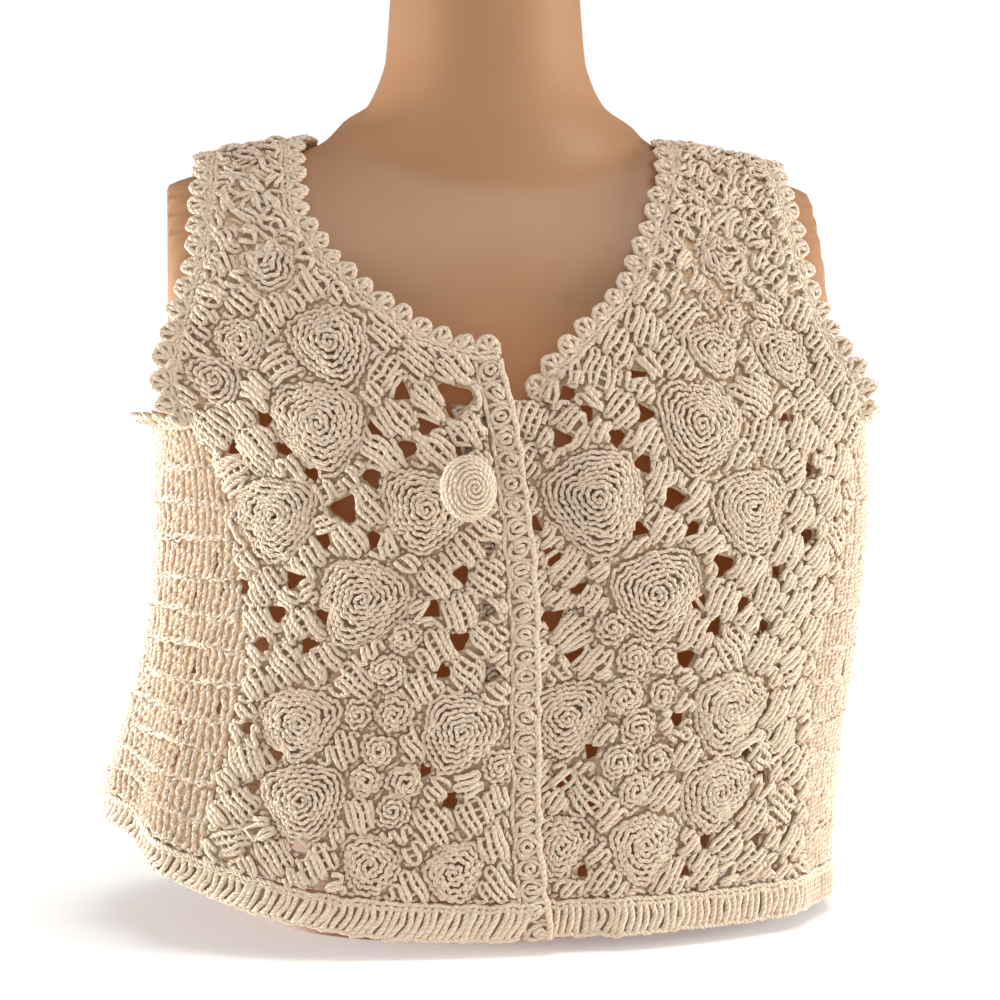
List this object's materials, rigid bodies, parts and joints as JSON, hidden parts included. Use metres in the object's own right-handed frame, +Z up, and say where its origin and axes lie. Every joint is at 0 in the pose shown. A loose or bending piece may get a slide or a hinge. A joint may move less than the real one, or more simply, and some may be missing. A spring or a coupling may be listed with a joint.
{
  "type": "sleeveless crochet top on a dress form",
  "caption": "Cropped open-front crochet top with scalloped edges and a domed yarn button, worn by a smooth limbless torso form with a neck.",
  "frame": {"origin": "centre of the object's box at the dress form's flat base", "axes": "+Z up, the front faces -Y, the wearer's left is +X"},
  "size_m": [0.4465, 0.2708, 0.533],
  "materials": {
    "ecru_cotton_yarn": "matt twisted cotton",
    "matt_tan_plastic": "smooth satin"
  },
  "bodies": {
    "root": {"front_right": "ecru_cotton_yarn", "front_left": "ecru_cotton_yarn", "front_band_right": "ecru_cotton_yarn", "front_band_left": "ecru_cotton_yarn", "side_right": "ecru_cotton_yarn", "side_left": "ecru_cotton_yarn", "back": "ecru_cotton_yarn", "hem_band": "ecru_cotton_yarn", "neck_edging": "ecru_cotton_yarn", "armhole_edging_right": "ecru_cotton_yarn", "armhole_edging_left": "ecru_cotton_yarn", "button": "ecru_cotton_yarn", "button_shank": "ecru_cotton_yarn", "form_torso": "matt_tan_plastic"}
  },
  "joints": []
}
